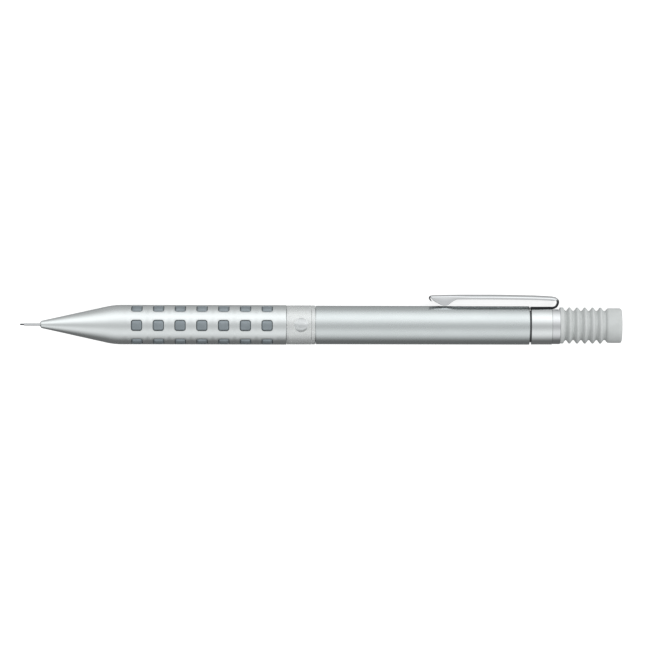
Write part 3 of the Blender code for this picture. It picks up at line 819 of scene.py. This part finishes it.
# After the colour and the roughness, a metal has the depths of its rings and its grain, and a
# plain material its grain's depth and scale and its mottle's strength. A translucent one has its
# transmission and its metallic value.
SATIN = metal("satin_grip_metal", (0.74, 0.77, 0.77), 0.26, turning=0.002, grain=0.001)
ALUMINIUM = metal("satin_aluminium", (0.645, 0.683, 0.685), 0.27, turning=0.0006, grain=0.0007)
BRIGHT = metal("bright_aluminium", (0.74, 0.765, 0.765), 0.13, turning=0.001, grain=0.0005)
CHROME = metal("clip_chrome_fine", (0.79, 0.805, 0.815), 0.09, turning=0.0002, grain=0.0003)
COLLAR = metal("collar_chrome_fine", (0.69, 0.705, 0.715), 0.13, turning=0.001, grain=0.0004)
# Near-black colour for the clip's side faces at the nose, bend and foot: painted shade.
CLIP_PAINTED_SHADE = metal("clip_painted_shade", (0.035, 0.037, 0.04), 0.30, turning=0.0004, grain=0.0006)
# Dark colour for the clip's underside over the rear rings: painted shade.
CLIP_UNDERSIDE_SHADE = metal("clip_underside_painted_shade", (0.10, 0.105, 0.11), 0.40, turning=0.0004, grain=0.0006)
STEEL = metal("steel_fine", (0.62, 0.63, 0.64), 0.22, grain=0.0008)
BRASS = metal("brass_fine", (0.78, 0.60, 0.28), 0.26, grain=0.001)
GRAPHITE = plain("graphite_fine", (0.045, 0.047, 0.05), 0.38, 0.003, 20.0, 0.2)
GRIP_RUBBER = plain("grip_rubber_fine", (0.25, 0.285, 0.305), 0.42, 0.004, 9.0, 0.08, metallic=0.55)
NOSE_RUBBER = plain("nose_rubber_fine", (0.03, 0.03, 0.033), 0.6, 0.004)
COVER_RUBBER = plain("cover_rubber_fine", (0.50, 0.518, 0.513), 0.55, 0.006, 8.0, 0.05)
ERASER = plain("eraser_fine", (0.86, 0.85, 0.82), 0.8, 0.01, 5.0, 0.04)
WHITE_PLASTIC = plain("white_plastic_fine", (0.80, 0.80, 0.78), 0.42, 0.002, 6.0, 0.03)
GREY_PLASTIC = plain("grey_plastic_fine", (0.26, 0.27, 0.28), 0.5, 0.003, 6.0, 0.06)
BLACK_PLASTIC = plain("black_plastic_fine", (0.085, 0.09, 0.093), 0.34, 0.003, 6.0, 0.1, metallic=0.3)
FROSTED = translucent("frosted_ring", (0.745, 0.765, 0.76), 0.28, 0.25, 0.50)
LENS = translucent("clear_lens", (0.80, 0.825, 0.83), 0.13, 0.55, 0.42)
INK = plain("print_ink", (0.06, 0.07, 0.08), 0.5, 0.001, 6.0, 0.05)


def stands_for(piece, node, material, blend=None):
    """The piece takes the node's place, body and slot, or, given blend, is only laid in place unattached.
    """
    piece.data.materials.clear()
    piece.data.materials.append(material)
    if blend:
        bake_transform(piece)
    else:
        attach(piece, BODY_OF[node])
    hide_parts(node)
    return piece


def sleeve(front, rear, outer_r, bore_r):
    """The outer side and the bore of a plain tube."""
    return tube(front, rear, outer_r), tube(front, rear, bore_r)


# The sides of the stepped and the solid pieces: the outer side, then the bore, if any
LEAD = ([(0, 0), (0, 0.12), (0.1, LEAD_R), (60, LEAD_R), (60, 0)], ())
LEAD_SLEEVE = ([(0.95, 0.3), (7.65, 0.3), (7.65, 0.95), (8.1, 0.95)], tube(0.95, 8.1, 0.21))
CLUTCH_SLEEVE = (
    [(15.2, 2.4), (20.4, 2.4), (20.4, 2.05), (23.0, 2.05)],
    [(15.2, 1.75), (20.0, 1.75), (20.0, 1.25), (21.2, 1.25), (21.2, 1.7), (23.0, 1.7)],
)
CHUCK_ADAPTER = (
    [(28.6, 1.75), (29.6, 1.75), (29.6, 1.17), (33.0, 1.17)],
    [(28.6, 0.88), (30.1, 0.88), (30.1, 0.5), (33.0, 0.5)],
)
ERASER_HOLDER = (
    tube(129.5, 135.2, 2.0),
    [(129.5, 1.8), (131.1, 1.8), (131.1, 1.72), (135.2, 1.72)],
)
ERASER_ROD = ([(131.6, 0), (131.6, 1.7), (137.3, 1.7), (137.3, 0)], ())
COVER_RING = (
    [(122.5, 2.75), (124.85, 2.75), (124.85, 3.25), (125.5, 3.25)],
    tube(122.5, 125.5, 2.3),
)
KNOB_CORE = (
    [(129.3, 2.7), (135.97, 2.7), (135.97, 3.35), (138.2, 3.35), (138.2, 0)],
    [(129.3, 2.05), (135.25, 2.05), (135.25, 1.85), (137.6, 1.85), (137.6, 0)],
)

# The simple turned pieces: node, material, sides, edge, faces round
SIMPLE = [
    ("lead", GRAPHITE, LEAD, 0.02, WIRE_ROUND),
    ("lead_sleeve", STEEL, LEAD_SLEEVE, 0.04, SMALL_ROUND),
    ("lead_retainer", NOSE_RUBBER, sleeve(8.2, 11.2, 1.0, LEAD_BORE_R), 0.1, SMALL_ROUND),
    ("clutch_ring", BRASS, sleeve(15.42, 17.6, 1.68, 1.26), 0.1, TUBE_ROUND),
    ("clutch_sleeve", BRASS, CLUTCH_SLEEVE, 0.08, TUBE_ROUND),
    ("chuck_adapter", BRASS, CHUCK_ADAPTER, 0.06, TUBE_ROUND),
    ("lead_tube", GREY_PLASTIC, sleeve(29.7, 131.0, 1.75, 1.2), 0.1, TUBE_ROUND),
    ("eraser_holder", WHITE_PLASTIC, ERASER_HOLDER, 0.08, TUBE_ROUND),
    ("eraser", ERASER, ERASER_ROD, 0.25, TUBE_ROUND),
    ("mechanism_housing", GREY_PLASTIC, sleeve(20.5, 61.2, 2.9, 2.1), 0.2, TUBE_ROUND),
    ("grade_sleeve", WHITE_PLASTIC, sleeve(SLEEVE_FRONT, SLEEVE_REAR, SLEEVE_R, 3.34), 0.06, ROUND),
    ("barrel", ALUMINIUM, sleeve(BARREL_FRONT, BARREL_REAR, BARREL_R, BARREL_BORE_R), 0.16, BARREL_ROUND),
    ("cover_ring", WHITE_PLASTIC, COVER_RING, 0.08, TUBE_ROUND),
    ("knob_core", WHITE_PLASTIC, KNOB_CORE, 0.08, TUBE_ROUND),
]

for node, material, (outer, bore), edge, steps in SIMPLE:
    stands_for(turned(node + "_fine", outer, bore, edge, steps), node, material)

stands_for(make_grip_shell(), "grip_shell", SATIN)
stands_for(make_grip_insert(), "grip_insert", GRIP_RUBBER)
ring = stands_for(make_window_ring(), "window_ring", FROSTED)
give_faces(ring, LENS, in_lens)
marks = make_grade_marks()
marks.data.materials.append(INK)
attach(marks, "body")
core = stands_for(make_joint_core(), "joint_core", BRIGHT)
give_faces(core, FROSTED, on_flange)
stands_for(make_chuck(), "chuck", BRASS)
spring_ends = [row_point(s, 0) for s in (SPRING_FRONT, SPRING_REAR)]
stands_for(make_return_spring(), "return_spring", STEEL, ("body", "chuck_unit", *spring_ends))
# The clip's foot lies on a flat of the bush, in a slot through both rings.
SLOT_LOW, SLOT_HIGH = (0.0, -2.2, 117.0), (6.0, 2.2, 126.0)
FLAT_LOW, FLAT_HIGH = (3.42, -5.0, BARREL_REAR), (6.0, 5.0, 126.0)
bush_sides = sleeve(BUSH_FRONT, BUSH_REAR, BUSH_R, BUSH_BORE_R)
bush = turned("rear_bush_fine", *bush_sides, 0.1)
stands_for(cut_block(bush, FLAT_LOW, FLAT_HIGH), "rear_bush", BLACK_PLASTIC)
ring_sides = sleeve(REAR_RING_FRONT, REAR_RING_REAR, REAR_RING_R, REAR_RINGS_BORE_R)
rear_ring = turned("rear_ring_fine", *ring_sides, 0.06, FINE_ROUND)
stands_for(cut_block(rear_ring, SLOT_LOW, SLOT_HIGH), "rear_ring", BRIGHT)
collar_sides = sleeve(COLLAR_FRONT, COLLAR_REAR, COLLAR_R, REAR_RINGS_BORE_R)
collar = turned("end_collar_fine", *collar_sides, 0.04, FINE_ROUND)
stands_for(cut_block(collar, SLOT_LOW, SLOT_HIGH), "end_collar", COLLAR)
# The clip's foot stays and its blade turns; here the clip is only laid in place, with the points of its
# bend listed.
bend = [row_point(124.2, 4.8), row_point(123.0, 6.0)]
clip = stands_for(make_clip(), "clip", CHROME, ("body", "clip", *bend))
# Painted shade: near-black on the clip's side faces at the nose, bend and foot.
give_faces(clip, CLIP_PAINTED_SHADE, on_cut_edge)
# Painted shade: dark colour on the clip's underside over the rear rings.
give_faces(clip, CLIP_UNDERSIDE_SHADE, inside_clip)
cover_ends = [row_point(s, 0) for s in (125.6, 135.6)]
stands_for(make_bellows(), "bellows", COVER_RUBBER, ("cover_base", "knob", *cover_ends))


# The stage


def make_floor():
    """A pale floor that glows enough to take the shadows off it."""
    bpy.ops.mesh.primitive_plane_add(size=4.0)
    floor = bpy.context.object
    floor.name = "floor"
    material, _, shader = new_material("pale_floor")
    shader.inputs["Base Color"].default_value = (0.45, 0.45, 0.45, 1)
    shader.inputs["Roughness"].default_value = 0.9
    shader.inputs["Specular IOR Level"].default_value = 0.1
    shader.inputs["Emission Color"].default_value = (1, 1, 1, 1)
    shader.inputs["Emission Strength"].default_value = 0.80
    floor.data.materials.append(material)
    floor.visible_glossy = False
    floor.visible_diffuse = False


# Each soft light runs along the pencil: where it stands, how far it reaches and how bright it
# is. Places are degrees from +Y over the top towards -Y.
FILL_LIGHT = (-20, 140, 0.45)
KEY_LIGHT = (18, 66, 0.85)
TOP_LIGHT = (110, 64, 0.80)
AMBIENT = 0.17


def math_node(tree, operation, first, second):
    """The output of a two-input math node, whose second input is a number or an output."""
    node = tree.nodes.new("ShaderNodeMath")
    node.operation = operation
    tree.links.new(first, node.inputs[0])
    if isinstance(second, (int, float)):
        node.inputs[1].default_value = second
    else:
        tree.links.new(second, node.inputs[1])
    return node.outputs[0]


def make_world():
    """A dim room with three long soft lights round the pencil."""
    world = bpy.data.worlds.new("studio")
    bpy.context.scene.world = world
    world.use_nodes = True
    tree = world.node_tree
    coords = tree.nodes.new("ShaderNodeTexCoord")
    parts = tree.nodes.new("ShaderNodeSeparateXYZ")
    tree.links.new(coords.outputs["Generated"], parts.inputs[0])
    angle = math_node(tree, "ARCTAN2", parts.outputs["Z"], parts.outputs["Y"])
    total = None
    for place, reach, level in (FILL_LIGHT, KEY_LIGHT, TOP_LIGHT):
        away = math_node(tree, "ABSOLUTE", math_node(tree, "SUBTRACT", angle, math.radians(place)), 0)
        glow = remap(tree, away, level, 0, (0, math.radians(reach)), "SMOOTHSTEP")
        total = math_node(tree, "ADD", glow, total if total else AMBIENT)
    coloured = tree.nodes.new("ShaderNodeVectorMath")
    coloured.operation = "SCALE"
    coloured.inputs[0].default_value = (1.0, 1.01, 1.015)
    tree.links.new(total, coloured.inputs["Scale"])
    tree.links.new(coloured.outputs[0], tree.nodes["Background"].inputs["Color"])


def add_softbox(name, way, distance, size, power):
    """A square softbox that looks at the pencil's middle from the way it stands."""
    light = bpy.data.lights.new(name, "AREA")
    light.size = size
    light.energy = power
    lamp = link(name, light)
    lamp.location = row_point(LENGTH / 2, 0) + way.normalized() * distance
    lamp.rotation_euler = way.to_track_quat("Z", "Y").to_euler()
    lamp.visible_glossy = False


def make_camera():
    """A long lens that looks square on to the pencil's side, a touch behind its middle."""
    distance, frame_width, tilt_degrees, target_s = 0.9, 0.15022, 0.12, 70.49
    camera_data = bpy.data.cameras.new("camera")
    camera_data.sensor_width = 36.0
    camera_data.lens = camera_data.sensor_width * distance / frame_width
    camera_data.clip_start = 0.05
    camera = link("camera", camera_data)
    target = row_point(target_s, 0.0)
    tilt = Matrix.Rotation(math.radians(tilt_degrees), 3, SIDE_WAY)
    right, up = tilt @ ALONG, tilt @ CLIP_WAY
    turn = Matrix((right, up, SIDE_WAY)).transposed().to_4x4()
    camera.matrix_world = Matrix.Translation(target + SIDE_WAY * distance) @ turn
    bpy.context.scene.camera = camera


make_camera()
make_floor()
make_world()
add_softbox("end_light", ALONG + 1.1 * SIDE_WAY + 0.3 * CLIP_WAY, 0.7, 0.3, 1.4)
bpy.context.scene.view_settings.view_transform = "Standard"
